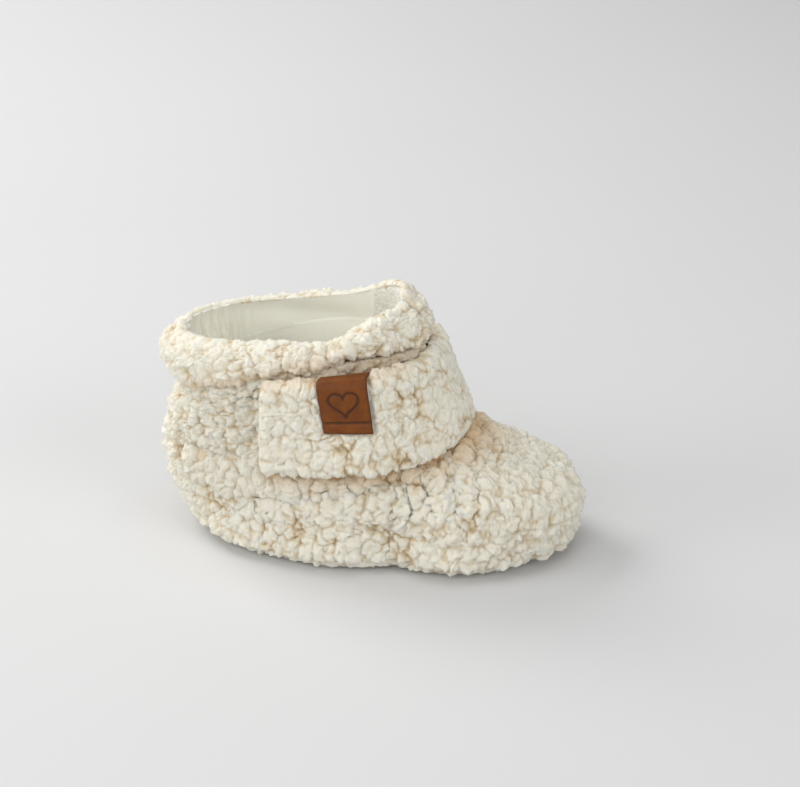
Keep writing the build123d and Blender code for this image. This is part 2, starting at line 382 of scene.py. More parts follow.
def plush_layers(base, amount, thickness, round_sides, shade=None, stretch=(1, 1, 1), seed=1, round_mm=2.4,
                 tuck=0.88, lump_size=3.3):
    """Face, back and shading of plush. base is its smooth outer face; tuck is how far its sides curl under."""
    normal = soften(normals_of(base), 2)
    normal /= np.linalg.norm(normal, axis=2, keepdims=True)
    d = np.clip(border_distance(base, round_sides) / round_mm, 0, 1) if round_sides else np.ones(base.shape[:2])
    full = np.sqrt(np.clip(1 - (1 - d) ** 2, 0, 1)) * tuck + 1 - tuck
    flat = base.reshape(-1, 3)
    height, painted_crevice_level = plush_relief(flat, stretch, seed, lump_size)
    height = height.reshape(d.shape)
    side = np.stack([noise(flat, 1.4, seed + k) for k in (31, 32, 33)], -1).reshape(base.shape)
    amount = np.asarray(amount) * (0.6 + 0.4 * full)
    face = base - normal * (thickness / 2 * (1 - full))[..., None] + normal * (height * amount)[..., None]
    face += side * (0.12 * amount * (0.3 + height) * full)[..., None]
    back = base - normal * (thickness / 2 * (1 + full))[..., None]
    # pile holds the level of painted crevice shade, shade the share of painted shadow.
    values = {"pile": painted_crevice_level.reshape(d.shape), "shade": np.zeros(d.shape) if shade is None else shade}
    face[..., 2] = np.maximum(face[..., 2], 0.12)
    back[..., 2] = np.maximum(back[..., 2], 0.4)
    return face, back, values


def plush_piece(name, base, amount, thickness, round_sides, material, shade=None, stretch=(1, 1, 1),
                walls=("bottom", "top", "start", "end"), **shape):
    face, back, values = plush_layers(base, amount, thickness, round_sides, shade, stretch, **shape)
    return shell(name, face, strided(back, 4), values, material, walls)


# ---------------------------------------------------------------------------
# Materials.
# ---------------------------------------------------------------------------
def new_material(name):
    material = bpy.data.materials.new(name)
    material.use_nodes = True
    return material, material.node_tree.nodes, material.node_tree.links, material.node_tree.nodes["Principled BSDF"]


def ramp(nodes, stops):
    made = nodes.new("ShaderNodeValToRGB")
    while len(made.color_ramp.elements) < len(stops):
        made.color_ramp.elements.new(0.5)
    for element, (place, colour) in zip(made.color_ramp.elements, stops):
        element.position = place
        element.color = (*colour, 1)
    return made


def noise_node(nodes, links, coordinates, scale, detail=4.0, rough=0.6):
    made = nodes.new("ShaderNodeTexNoise")
    made.inputs["Scale"].default_value = scale
    made.inputs["Detail"].default_value = detail
    made.inputs["Roughness"].default_value = rough
    links.new(coordinates, made.inputs["Vector"])
    return made


def mix_colour(nodes, links, factor, a, b, mode="MIX"):
    made = nodes.new("ShaderNodeMix")
    made.data_type = "RGBA"
    made.blend_type = mode
    for key, value in ((0, factor), (6, a), (7, b)):
        if hasattr(value, "is_linked"):
            links.new(value, made.inputs[key])
        elif key == 0:
            made.inputs[0].default_value = value
        else:
            made.inputs[key].default_value = (*value, 1)
    return made.outputs[2]


def bump(nodes, links, height, strength, distance, shader, before=None):
    made = nodes.new("ShaderNodeBump")
    made.inputs["Strength"].default_value = strength
    made.inputs["Distance"].default_value = distance
    links.new(height, made.inputs["Height"])
    if before:
        links.new(before, made.inputs["Normal"])
    links.new(made.outputs["Normal"], shader.inputs["Normal"])
    return made.outputs["Normal"]


def plush_material(name, top, crevice, deep, scale_sss=0.0016):
    material, nodes, links, shader = new_material(name)
    place = nodes.new("ShaderNodeTexCoord").outputs["Object"]
    pile = nodes.new("ShaderNodeAttribute")
    pile.attribute_name = "pile"
    shade = nodes.new("ShaderNodeAttribute")
    shade.attribute_name = "shade"
    fibre = noise_node(nodes, links, place, 2600, 3, 0.7)
    tone = noise_node(nodes, links, place, 120, 3, 0.55)
    level = nodes.new("ShaderNodeMath")
    level.operation = "MULTIPLY_ADD"
    links.new(fibre.outputs["Fac"], level.inputs[0])
    level.inputs[1].default_value = 0.22
    links.new(pile.outputs["Fac"], level.inputs[2])
    # Painted shade: the colour runs from top down to crevice and deep as the pile level falls, darkening the crevices.
    colours = ramp(nodes, ((0.14, deep), (0.40, crevice), (0.74, top), (1.0, top)))
    links.new(level.outputs[0], colours.inputs["Fac"])
    tinted = ramp(nodes, ((0.3, (0.98, 0.955, 0.90)), (0.7, (1, 1, 1))))
    links.new(tone.outputs["Fac"], tinted.inputs["Fac"])
    first = mix_colour(nodes, links, 0.8, colours.outputs["Color"], tinted.outputs["Color"], "MULTIPLY")
    shaded = mix_colour(nodes, links, shade.outputs["Fac"], first, (0.77, 0.57, 0.38), "MULTIPLY")
    links.new(shaded, shader.inputs["Base Color"])
    shader.inputs["Roughness"].default_value = 0.95
    shader.inputs["Specular IOR Level"].default_value = 0.15
    shader.inputs["Sheen Weight"].default_value = 0.35
    shader.inputs["Sheen Roughness"].default_value = 0.6
    shader.inputs["Sheen Tint"].default_value = (1, 0.97, 0.9, 1)
    shader.inputs["Subsurface Weight"].default_value = 0.3
    shader.inputs["Subsurface Radius"].default_value = (1.0, 0.88, 0.72)
    shader.inputs["Subsurface Scale"].default_value = scale_sss
    strands = noise_node(nodes, links, place, 1500, 5, 0.75)
    bump(nodes, links, strands.outputs["Fac"], 0.9, 0.0006, shader)
    return material


# Plush colours: top, then painted crevice shade and painted deep shade.
PLUSH = plush_material("plush", (0.935, 0.90, 0.785), (0.76, 0.635, 0.44), (0.44, 0.31, 0.16))
FACING = plush_material("plush_facing", (0.95, 0.93, 0.85), (0.86, 0.79, 0.66), (0.62, 0.50, 0.34))


def cloth_material(name, colour, dark, rib_scale, strength, distance):
    """Knitted or woven cloth: ribs crossed by rows, with a little unevenness."""
    material, nodes, links, shader = new_material(name)
    place = nodes.new("ShaderNodeTexCoord").outputs["Object"]
    rib = nodes.new("ShaderNodeTexWave")
    rib.inputs["Scale"].default_value = rib_scale
    rib.inputs["Distortion"].default_value = 0.6
    links.new(place, rib.inputs["Vector"])
    row = nodes.new("ShaderNodeTexWave")
    row.bands_direction = "Z"
    row.inputs["Scale"].default_value = rib_scale * 0.8
    row.inputs["Distortion"].default_value = 0.8
    links.new(place, row.inputs["Vector"])
    both = nodes.new("ShaderNodeMath")
    both.operation = "MULTIPLY"
    links.new(rib.outputs["Fac"], both.inputs[0])
    links.new(row.outputs["Fac"], both.inputs[1])
    tone = noise_node(nodes, links, place, 160, 4, 0.6)
    colours = ramp(nodes, ((0.3, dark), (0.75, colour)))
    links.new(tone.outputs["Fac"], colours.inputs["Fac"])
    # Painted shade: the colour is a little darker where ribs and rows dip, in the weave's grooves.
    woven = ramp(nodes, ((0.0, (0.90, 0.88, 0.84)), (0.5, (1, 1, 1))))
    links.new(both.outputs[0], woven.inputs["Fac"])
    colour_out = mix_colour(nodes, links, 0.5, colours.outputs["Color"], woven.outputs["Color"], "MULTIPLY")
    links.new(colour_out, shader.inputs["Base Color"])
    shader.inputs["Roughness"].default_value = 0.88
    shader.inputs["Specular IOR Level"].default_value = 0.2
    shader.inputs["Sheen Weight"].default_value = 0.25
    shader.inputs["Sheen Roughness"].default_value = 0.5
    shader.inputs["Subsurface Weight"].default_value = 0.15
    shader.inputs["Subsurface Radius"].default_value = (1.0, 0.8, 0.6)
    shader.inputs["Subsurface Scale"].default_value = 0.001
    bump(nodes, links, both.outputs[0], strength, distance, shader)
    return material


JERSEY = cloth_material("jersey", (0.97, 0.955, 0.86), (0.95, 0.93, 0.82), 900, 0.35, 0.0002)
ELASTIC = cloth_material("elastic", (0.85, 0.84, 0.80), (0.78, 0.77, 0.72), 700, 0.6, 0.0003)
LOOP_TAPE = cloth_material("loop_tape", (0.82, 0.79, 0.71), (0.74, 0.70, 0.61), 1400, 0.8, 0.0004)
HOOK_TAPE = cloth_material("hook_tape", (0.80, 0.78, 0.72), (0.70, 0.68, 0.61), 1100, 0.8, 0.0004)
THREAD = cloth_material("thread", (0.82, 0.78, 0.68), (0.72, 0.67, 0.55), 2600, 0.8, 0.0001)
TAG_THREAD = cloth_material("tag_thread", (0.10, 0.045, 0.015), (0.06, 0.025, 0.01), 2600, 0.8, 0.0001)


def foam_material():
    material, nodes, links, shader = new_material("foam")
    place = nodes.new("ShaderNodeTexCoord").outputs["Object"]
    pores = nodes.new("ShaderNodeTexVoronoi")
    pores.inputs["Scale"].default_value = 1400
    links.new(place, pores.inputs["Vector"])
    # Painted shade: the colour is darker at the pores' centres, in their hollows.
    colours = ramp(nodes, ((0.0, (0.55, 0.53, 0.47)), (0.4, (0.78, 0.76, 0.70))))
    links.new(pores.outputs["Distance"], colours.inputs["Fac"])
    links.new(colours.outputs["Color"], shader.inputs["Base Color"])
    shader.inputs["Roughness"].default_value = 0.9
    bump(nodes, links, pores.outputs["Distance"], 0.5, 0.0003, shader)
    return material


FOAM = foam_material()


def leather_material():
    material, nodes, links, shader = new_material("tag_leather")
    place = nodes.new("ShaderNodeTexCoord").outputs["Object"]
    press = nodes.new("ShaderNodeAttribute")
    press.attribute_name = "press"
    edge = nodes.new("ShaderNodeAttribute")
    edge.attribute_name = "edge"
    tone = noise_node(nodes, links, place, 260, 5, 0.62)
    grain = nodes.new("ShaderNodeTexVoronoi")
    grain.feature = "DISTANCE_TO_EDGE"
    grain.inputs["Scale"].default_value = 2400
    links.new(place, grain.inputs["Vector"])
    pores = noise_node(nodes, links, place, 5200, 3, 0.6)
    colours = ramp(nodes, ((0.25, (0.130, 0.036, 0.006)), (0.55, (0.180, 0.052, 0.007)), (0.85, (0.240, 0.076, 0.010))))
    links.new(tone.outputs["Fac"], colours.inputs["Fac"])
    pressed = mix_colour(nodes, links, press.outputs["Fac"], colours.outputs["Color"], (0.045, 0.014, 0.005))
    worn = mix_colour(nodes, links, edge.outputs["Fac"], pressed, (0.105, 0.032, 0.007))
    links.new(worn, shader.inputs["Base Color"])
    roughness = ramp(nodes, ((0.2, (0.36, 0.36, 0.36)), (0.8, (0.52, 0.52, 0.52))))
    links.new(tone.outputs["Fac"], roughness.inputs["Fac"])
    links.new(roughness.outputs["Color"], shader.inputs["Roughness"])
    shader.inputs["Specular IOR Level"].default_value = 0.22
    first = bump(nodes, links, grain.outputs["Distance"], 0.25, 0.0001, shader)
    bump(nodes, links, pores.outputs["Fac"], 0.15, 0.00006, shader, first)
    return material


LEATHER = leather_material()


# ---------------------------------------------------------------------------
# Body of the shoe: sole, vamp and quarters.
# ---------------------------------------------------------------------------
def crease(x, z, line, width, depth):
    """How deep a crease along a side-view line is at each point."""
    line = np.array(line, float)
    best = np.full(x.shape, 1e9)
    for a, b in zip(line, line[1:]):
        d = b - a
        t = np.clip(((x - a[0]) * d[0] + (z - a[1]) * d[1]) / (d @ d), 0, 1)
        best = np.minimum(best, np.hypot(x - a[0] - t * d[0], z - a[1] - t * d[1]))
    return depth / (1 + (best / width) ** 2) ** 1.5


OUTER_CREASES = (
    (((-36, 13), (-26, 18.5), (-10, 21), (4, 25), (11, 26.5)), 2.1, 2.3),
    (((-52, 33), (-44, 30), (-34, 31)), 2.2, 1.2),
    (((-50, 20), (-40, 17), (-30, 16.5)), 2.2, 1.0),
    (((14, 28), (17, 24), (18, 17)), 1.8, 1.5),
    (((20, 32), (22.5, 27), (23, 20)), 1.7, 1.9),
    (((26, 33), (29, 28), (30, 22)), 1.6, 1.6),
    (((33, 30), (36, 25)), 1.6, 1.0),
    (((-2, 29), (2, 22)), 1.6, 1.0),
)
INNER_CREASES = (
    (((-34, 15), (-20, 20), (-4, 22), (9, 26)), 2.1, 2.0),
    (((-52, 31), (-42, 29), (-32, 30)), 2.2, 1.2),
    (((16, 29), (18, 22)), 1.8, 1.5),
    (((23, 32), (26, 25)), 1.8, 1.6),
)


def tucked(grid):
    """Behind the heel the layers are drawn in at the ankle seam, and a little near the sole."""
    grid = grid.copy()
    x, z = grid[..., 0], grid[..., 2]
    move = 1.3 * np.exp(-(((z - 12) / 8) ** 2)) + 4.4 * np.exp(-(((z - 48) / 6) ** 2))
    grid[..., 0] += (1 - smooth(x, -60, -42)) * move
    return grid


def body_grid(low_angle, high_angle, count, rows, grow=-1.5, samples=240):
    """Smooth outer face between two column angles, each a function of height."""
    t = np.linspace(0, 1, count)
    top = np.full(count, 50.0)
    for _ in range(30):
        angle = low_angle(top) + t * (high_angle(top) - low_angle(top))
        x = on_form(SHOE, SHOE_SQUARE, angle, top, grow)[:, 0]
        top = 0.5 * top + 0.5 * (edge_z(SEAM, x) - 0.3)
    share = np.linspace(0, 1, samples)[:, None]
    z = (SOLE_Z - 0.8) + share * (top[None] - SOLE_Z + 0.8)
    angle = low_angle(z) + t[None] * (high_angle(z) - low_angle(z))
    lines = on_form(SHOE, SHOE_SQUARE, angle, z, grow)
    return shape_body(resample(lines, rows))


def shape_body(grid):
    """Waist, puffiness and creases on a smooth part of the shoe."""
    x, y, z = grid[..., 0], grid[..., 1], grid[..., 2]
    side = np.sign(y)
    waist = 4.4 * np.exp(-(((x - 13) / 10) ** 2)) * (1 - smooth(z, 4, 24)) * smooth(np.abs(y), 8, 18)
    waist -= 3.4 * (1 - smooth(z, 3, 14)) * smooth(np.abs(y), 6, 18) * smooth(x, -50, -36) * (1 - smooth(x, 34, 52))
    normal = normals_of(grid)
    wander = [1.3 * noise(grid.reshape(-1, 3), 3.4, seed).reshape(x.shape) for seed in (92, 93)]
    deep = np.zeros(x.shape)
    for lines, sign in ((OUTER_CREASES, LATERAL), (INNER_CREASES, MEDIAL)):
        here = smooth(sign * y, 2, 8)
        for line, width, depth in lines:
            deep += here * crease(x + wander[0], z + wander[1], line, width, depth)
    swell = 0.8 * noise(grid.reshape(-1, 3), 17.0, 91).reshape(x.shape) + 0.25
    moved = grid + normal * (swell - deep)[..., None]
    moved[..., 1] -= side * waist
    return tucked(moved)


def under_strap(grid):
    """Share of painted strap shadow colour just under the strap's lower edge."""
    x, y, z = grid[..., 0], grid[..., 1], grid[..., 2]
    below = edge_z(STRAP_LOW, x) - z
    strap = smooth(x, STRAP_END_X - 3, STRAP_END_X + 4) * np.exp(-((np.clip(below, -4, 40) - 1.0) / 5.2) ** 2)
    return strap


def over_patch(grid):
    """1 on the loop patch, where the pile is shorn off, to 0 a little way round it."""
    x, y, z = grid[..., 0], grid[..., 1], grid[..., 2]
    gap = np.maximum(np.maximum(PATCH_X[0] - x, x - PATCH_X[1]), np.maximum(PATCH_Z[0] - z, z - PATCH_Z[1]))
    return (1 - smooth(gap, -0.1, 3.2)) * (y < 0)


def seam_angle(sign, grow=-1.5):
    """Angle of the seam between vamp and quarter, which wanders a little."""
    def at(z):
        z = np.asarray(z, float)
        x = VAMP_X - 1.4 + 0.11 * z + 0.45 * np.sin(1.9 * z) + 0.35 * np.sin(0.8 * z + 1)
        return sign * angle_at(SHOE, SHOE_SQUARE, x, z, grow)
    return at


def fixed(angle):
    def at(z):
        return angle + 0 * np.asarray(z, float)
    return at


pieces = {}


def made(piece, body, replaced, slot, fill=None):
    """Attaches a piece to its body if it has one, hides the parts it replaces and keeps the piece by name."""
    if body:
        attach(piece, body)
    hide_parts(*replaced)
    pieces[piece.name] = piece
    return piece


QUALITY = 1.0


def n(count):
    return max(8, int(count * QUALITY))


BODY_RELIEF = (0.9, 0.9, 0.95)
SIDES = ("bottom", "top", "start", "end")
vamp_base = body_grid(seam_angle(LATERAL), seam_angle(MEDIAL), n(460), n(170))
made(plush_piece("vamp_plush", vamp_base, 3.5, 3.0, SIDES, PLUSH, under_strap(vamp_base), BODY_RELIEF, seed=11,
                 round_mm=1.0, tuck=0.22), "shoe", ["vamp"], "plush", 0.4)
for side, sign, a, b in (("lateral", LATERAL, fixed(-math.pi), seam_angle(LATERAL)),
                         ("medial", MEDIAL, seam_angle(MEDIAL), fixed(math.pi))):
    base = body_grid(a, b, n(270), n(190))
    shorn = over_patch(base)
    base -= normals_of(base) * (0.4 * shorn)[..., None]
    made(plush_piece(f"quarter_{side}_plush", base, 3.5 - 3.2 * shorn, 3.0, SIDES, PLUSH, under_strap(base), BODY_RELIEF, seed=11,
                     round_mm=1.0, tuck=0.22), "shoe", [f"quarter_{side}"], "plush", 0.4)

# Sole: from the upper's edge down and in under the foot.
t = np.linspace(-math.pi, math.pi, n(520))
profile = ((4.6, 1.0, -1.6), (3.0, 1.0, -1.7), (1.6, 1.0, -2.2), (0.9, 0.97, -3.0), (0.7, 0.90, -3.0),
           (0.8, 0.75, -3.0), (1.0, 0.5, -3.0), (1.1, 0.25, -3.0), (1.1, 0.04, -3.0))
rings = []
for z, share, grow in profile:
    ring = on_form(SHOE, SHOE_SQUARE, t, np.full(t.shape, max(z, 0.4)), grow)
    ring[:, 0] = 2 + (ring[:, 0] - 2) * share
    ring[:, 1] *= share
    ring[:, 2] = z
    rings.append(ring)
sole_base = resample(np.array(rings), n(130))
sole_base = shape_body(sole_base)
sole_base[..., 2] = np.maximum(sole_base[..., 2], 0.5)
sole = plush_piece("sole_plush", sole_base[::-1], 2.2 * smooth(sole_base[::-1, :, 2], 0.6, 3.5) + 0.5, 2.4,
                   ("top",), PLUSH, None, BODY_RELIEF, seed=11, round_mm=1.0, tuck=0.22, walls=("bottom", "top"))
made(weld(sole), "shoe", ["outsole"], "plush", 0.4)

# ---------------------------------------------------------------------------
# Cuff: a puffy band with a rolled rim.
# ---------------------------------------------------------------------------
CUFF_OUTER = np.array((
    (-2.6, 0.04), (-0.9, -0.03), (0.9, 0.03), (1.9, 0.14), (2.3, 0.34), (2.0, 0.56), (1.0, 0.78),
    (-0.4, 0.94), (-2.0, 1.01), (-3.4, 0.97), (-4.2, 0.88),
))
CUFF_INNER = np.array((
    (-2.6, 0.04), (-0.9, -0.03), (0.9, 0.03), (1.9, 0.14), (2.3, 0.34), (1.9, 0.56), (0.6, 0.78),
    (-1.0, 0.93), (-2.3, 0.985), (-3.2, 0.975), (-3.9, 0.93),
))


def drawn_in(grid):
    """Behind the heel the cuff is drawn in, most of all at its seam."""
    grid = grid.copy()
    x, z = grid[..., 0], grid[..., 2]
    share = (z - edge_z(SEAM, x)) / (edge_z(RIM_OUTER, x) - edge_z(SEAM, x))
    grid[..., 0] += (1 - smooth(x, -60, -42)) * (0.8 + 4.6 * (1 - smooth(share, 0.05, 0.75)))
    return grid


def leaned(grid):
    """The front of the cuff leans back a little towards its rim."""
    grid = grid.copy()
    grid[..., 0] -= 2.2 * smooth(grid[..., 2], 62, 74) * smooth(grid[..., 0], 2, 15)
    return grid


def cuff_grid(low, high, count, rows, profile):
    """Face of the cuff between two angles. Profile points are (outwards, share of the cuff's height)."""
    angle = np.linspace(low, high, count)
    s = np.linspace(0, len(profile) - 1, 90)
    knots = np.arange(len(profile), dtype=float)
    out = hermite(knots, profile[:, 0], s)
    share = hermite(knots, profile[:, 1], s)
    lines = np.empty((len(s), count, 3))
    for r, (o, h) in enumerate(zip(out, share)):
        z = np.full(count, 60.0)
        for _ in range(25):
            x, y = on_form(SHOE, SHOE_SQUARE, angle, z, o)[:, :2].T
            foot, head = edge_z(SEAM, x) + 1.3 * smooth(x, -8, 2) * (y < 0), rim_z(x, y)
            z = 0.5 * z + 0.5 * (foot + h * (head - foot))
        lines[r] = on_form(SHOE, SHOE_SQUARE, angle, z, o - 1.3)
    grid = resample(lines, rows)
    return leaned(drawn_in(grid))


def puff(grid, amount, seed):
    """Slow swelling of a padded band."""
    swell = amount * noise(grid.reshape(-1, 3), 11.0, seed).reshape(grid.shape[:2])
    return grid + normals_of(grid) * swell[..., None]


def cuff_shade(grid):
    x, z = grid[..., 0], grid[..., 2]
    return 0.5 * np.exp(-(((z - edge_z(SEAM, x)) / 2.4) ** 2))


def cuff_pile(base, top_pile):
    """Depth of the cuff's pile, less on its rolled rim."""
    below = rim_z(base[..., 0], base[..., 1]) - base[..., 2]
    inside = smooth(np.arange(base.shape[0])[:, None] / base.shape[0] + 0 * below, 0.60, 0.80)
    return 2.9 - (2.9 - top_pile) * inside * (1 - smooth(below, 1.0, 5.0))


FRONT_GAP = 0.02
cuff_base = puff(cuff_grid(-math.pi, -FRONT_GAP, n(360), n(100), CUFF_OUTER), 0.7, 51)
cuff_out = plush_piece("cuff_lateral_plush", cuff_base, cuff_pile(cuff_base, 1.5), 2.2, ("start", "end"), PLUSH,
                       cuff_shade(cuff_base), (0.85, 0.85, 1.0), seed=21, round_mm=1.6, tuck=0.5)
made(cuff_out, None, ["cuff_lateral", "flap"], "plush", 0.5)
cuff_base = puff(cuff_grid(FRONT_GAP, math.pi, n(360), n(100), CUFF_INNER), 0.5, 51)
made(plush_piece("cuff_medial_plush", cuff_base, cuff_pile(cuff_base, 0.8), 2.0, ("start", "end"), PLUSH,
                 cuff_shade(cuff_base), (0.85, 0.85, 1.0), seed=21, round_mm=1.6, tuck=0.5), "shoe", ["cuff_medial"],
     "plush", 0.5)

# ---------------------------------------------------------------------------
# Linings: thin cloth, gathered behind the heel.
# ---------------------------------------------------------------------------
LINING_GROW = -5.0


def gathers(grid, inward):
    """Pleats at the heel end, drawn up by the elastic."""
    x, y, z = grid[..., 0], grid[..., 1], grid[..., 2]
    run = np.arctan2(y, x + 28) * 26
    near_heel = (1 - smooth(x, -52, -34)) * (1 - 0.65 * smooth(z, rim_z(x, y) - 7, rim_z(x, y) - 1))
    fold = np.sin(run * 1.75 + 1.3 * np.sin(z * 0.35)) + 0.5 * np.sin(run * 3.1 + 1.0)
    drift = noise(grid.reshape(-1, 3), 8.0, 61).reshape(x.shape)
    move = near_heel * 0.62 * (fold + 1.2) + 0.4 * (drift + 0.4)
    return grid + normals_of(grid) * (inward * move)[..., None]


def thin_cloth(name, face, thickness, material, body, replaced, slot, values=None):
    """A sheet of cloth with a real thickness, sewn in place."""
    normal = normals_of(face)
    back = face - normal * thickness
    made_values = {"pile": np.full(face.shape[:2], 0.7), "shade": np.zeros(face.shape[:2])}
    made_values.update(values or {})
    piece = shell(name, face, strided(back, 2), made_values, material)
    made(piece, body, replaced, slot)
    width = float(np.linalg.norm(np.diff(face, axis=1), axis=2).sum(1).max()) * MM
    length = float(np.linalg.norm(np.diff(face, axis=0), axis=2).sum(0).max()) * MM
    area = float(sum(p.area for p in piece.data.polygons[:(face.shape[0] - 1) * (face.shape[1] - 1)]))
    area = min(area, width * length)
    return piece


def cuff_inside(low, high, count, rows, grow=LINING_GROW, top=0.93):
    t = np.linspace(0, 1, count)
    share = np.linspace(-0.12, top, rows)
    angle = low + t * (high - low)
    face = np.empty((rows, count, 3))
    for r, h in enumerate(share):
        z = np.full(count, 60.0)
        for _ in range(25):
            x, y = on_form(SHOE, SHOE_SQUARE, angle, z, grow)[:, :2].T
            foot, head = edge_z(SEAM, x), rim_z(x, y)
            # The swinging flap's inside stops at the seam, the rest laps below it.
            raised = 0.14 * smooth(x, -13, -5) * (y < 0) * (top - h) / (top + 0.12)
            z = 0.5 * z + 0.5 * (foot + (h + raised) * (head - foot))
        face[r] = on_form(SHOE, SHOE_SQUARE, angle, z, grow)
    return leaned(drawn_in(face))


facing_angle = float(angle_at(SHOE, SHOE_SQUARE, FACING_X, np.array([66.0]), LINING_GROW)[0])
# Faces of linings look inwards, so their columns run the other way.
UNDER_FACING = 0.05
thin_cloth("cuff_medial_jersey",
           gathers(cuff_inside(math.pi, facing_angle - UNDER_FACING, n(220), n(60), top=0.97), 1), 0.5, JERSEY,
           "shoe", ["cuff_lining_medial"], "jersey")
lateral_jersey = thin_cloth(
    "cuff_lateral_jersey", gathers(cuff_inside(-facing_angle + UNDER_FACING, -math.pi, n(220), n(60)), 1), 0.5,
    JERSEY, None, ["cuff_lining_lateral"], "jersey")


def facing_piece(name, low, high, body, replaced):
    """Short plush at the front of the cuff's inside."""
    base = cuff_inside(low, high, n(110), n(100), LINING_GROW - 0.35)
    return made(plush_piece(name, base, 0.55, 1.0, SIDES, FACING, None, (1.3, 1.3, 1.3), seed=31, round_mm=1.6,
                            lump_size=2.2), body, replaced, "plush_facing", 0.3)


facing_piece("cuff_medial_facing", facing_angle, 0.02, "shoe", ["cuff_facing_medial"])
flap_inside = facing_piece("flap_plush_facing", -0.02, -facing_angle, None, ["flap_facing"])


def lining_grid(low_angle, high_angle, count, rows, floor, grow=LINING_GROW):
    """Inside face below the ankle seam."""
    t = np.linspace(0, 1, count)
    top = np.full(count, 50.0)
    for _ in range(30):
        angle = low_angle(top) + t * (high_angle(top) - low_angle(top))
        x = on_form(SHOE, SHOE_SQUARE, angle, top, grow)[:, 0]
        top = 0.5 * top + 0.5 * edge_z(SEAM, x)
    share = np.linspace(0, 1, 120)[:, None]
    z = floor + share * (top[None] - floor)
    angle = low_angle(z) + t[None] * (high_angle(z) - low_angle(z))
    return tucked(resample(on_form(SHOE, SHOE_SQUARE, angle, z, grow), rows))


INSIDE_FLOOR = 9.0
thin_cloth("vamp_jersey", lining_grid(seam_angle(MEDIAL, grow=LINING_GROW), seam_angle(LATERAL, grow=LINING_GROW),
                                      n(120), n(80), INSIDE_FLOOR), 0.5, JERSEY, "shoe", ["vamp_lining"], "jersey")
thin_cloth("quarter_medial_jersey",
           gathers(lining_grid(fixed(math.pi), seam_angle(MEDIAL, grow=LINING_GROW), n(130), n(70), INSIDE_FLOOR), 1),
           0.5, JERSEY, "shoe", ["quarter_lining_medial"], "jersey")
thin_cloth("quarter_lateral_jersey",
           gathers(lining_grid(seam_angle(LATERAL, grow=LINING_GROW), fixed(-math.pi), n(130), n(70), INSIDE_FLOOR), 1),
           0.5, JERSEY, "shoe", ["quarter_lining_lateral"], "jersey")


def disc(z, grow, count, rows):
    """A flat layer inside the shoe at one height, from its edge to its middle."""
    t = np.linspace(-math.pi, math.pi, count)
    ring = on_form(SHOE, SHOE_SQUARE, t, np.full(count, z), grow)
    share = np.linspace(1, 0.03, rows)[:, None, None]
    middle = np.array((2.0, 0.0, z))
    face = middle + (ring[None] - middle) * share
    return face


insole = disc(9.0, -5.4, n(200), n(50))
insole[..., 2] = 8.9 + 0.22 * noise(insole.reshape(-1, 3), 10.0, 71).reshape(insole.shape[:2])
edge_lift = border_distance(insole, ("bottom",))
insole[..., 2] += 0.8 * np.exp(-((edge_lift / 2.5) ** 2))
insole_piece = shell("insole_jersey", insole, strided(insole - (0, 0, 0.5), 2),
                     {"pile": np.full(insole.shape[:2], 0.7)}, JERSEY, ("bottom", "top"))
made(weld(insole_piece), "shoe", ["insole_lining"], "jersey")

foam_rings = []
for z, share, grow in ((5.6, 0.05, -5.6), (5.4, 0.6, -5.6), (5.5, 0.97, -5.6), (6.2, 1.0, -5.4), (7.3, 1.0, -5.4),
                       (8.0, 0.97, -5.6), (8.2, 0.6, -5.6), (8.2, 0.05, -5.6)):
    ring = on_form(SHOE, SHOE_SQUARE, np.linspace(-math.pi, math.pi, n(160)), np.full(n(160), 7.0), grow)
    ring[:, 0] = 2 + (ring[:, 0] - 2) * share
    ring[:, 1] *= share
    ring[:, 2] = z
    foam_rings.append(ring)
foam_grid = resample(np.array(foam_rings), n(60))
foam = to_object("sole_foam", foam_grid.reshape(-1, 3),
                 grid_faces(np.arange(foam_grid.shape[0] * foam_grid.shape[1]).reshape(foam_grid.shape[:2]), False),
                 material=FOAM)
made(weld(foam), "shoe", ["sole_padding"], "foam", 0.8)

# Elastic behind the heel: a narrow band, puckered.
elastic_t = np.concatenate([np.linspace(2.15, math.pi, n(70)), np.linspace(-math.pi, -2.15, n(70))[1:]])
rows = []
for rise in np.linspace(-2.9, 2.9, n(16)):
    z = np.full(elastic_t.shape, 48.0)
    for _ in range(25):
        x = on_form(SHOE, SHOE_SQUARE, elastic_t, z, -3.4)[:, 0]
        z = 0.5 * z + 0.5 * (edge_z(SEAM, x) + rise)
    rows.append(on_form(SHOE, SHOE_SQUARE, elastic_t, z, -3.4))
elastic_face = tucked(np.array(rows))
pucker = 0.12 * np.sin(np.linspace(0, 90, len(elastic_t)))
elastic_face += normals_of(elastic_face) * pucker[None, :, None]
elastic = shell("heel_elastic_band", elastic_face, elastic_face - normals_of(elastic_face) * 0.5,
                {"pile": np.full(elastic_face.shape[:2], 0.7)}, ELASTIC)
made(elastic, "shoe", ["heel_elastic"], "elastic")

# ---------------------------------------------------------------------------
# Strap.
# ---------------------------------------------------------------------------
STRAP_PROFILE = np.array((
    (2.6, "low", 2.4), (2.6, "low", 0.7), (3.4, "low", -0.3), (4.9, "low", 0.0), (5.9, "low", 1.5), (6.2, "low", 4.5),
    (6.3, "mid", 0.0), (6.2, "top", -4.5), (5.9, "top", -1.5), (4.9, "top", 0.0), (3.4, "top", 0.3),
    (2.6, "top", -0.7), (2.6, "top", -2.4),
), dtype=object)


